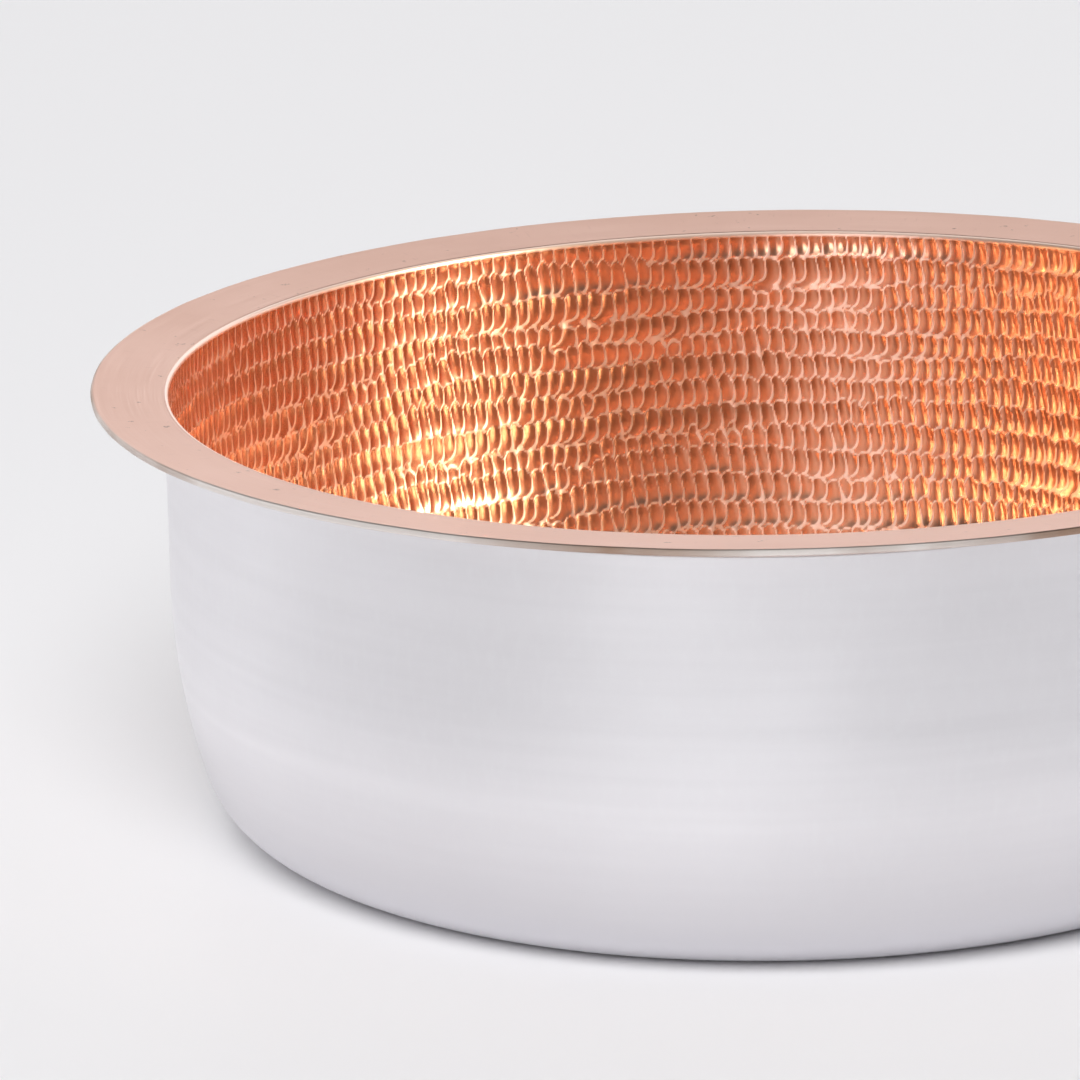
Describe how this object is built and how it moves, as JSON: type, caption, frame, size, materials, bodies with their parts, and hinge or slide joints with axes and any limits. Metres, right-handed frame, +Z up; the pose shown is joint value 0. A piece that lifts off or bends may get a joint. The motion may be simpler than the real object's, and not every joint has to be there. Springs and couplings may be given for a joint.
{
  "type": "bowl",
  "caption": "Round hammered copper bowl with a flat copper rim ring round its mouth, a satin tinned outside, a rounded lower edge and a flat base it stands on.",
  "frame": {"origin": "centre of the flat underside, which is the bottom centre of the bounding box", "axes": "+Z up along the bowl's axis; X and Y lie in the plane it stands on and are equivalent, because the bowl is round"},
  "size_m": [0.457, 0.457, 0.1523],
  "materials": {
    "copper_hammered": "hammered and polished",
    "tin_satin": "satin, with faint hammer marks",
    "copper_satin": "satin, lightly worn",
    "braze_alloy": "as brazed"
  },
  "bodies": {
    "root": {"copper_bowl": "copper_hammered", "tinned_skin": "tin_satin", "rim_ring": "copper_satin", "braze_seam": "braze_alloy"}
  },
  "joints": []
}
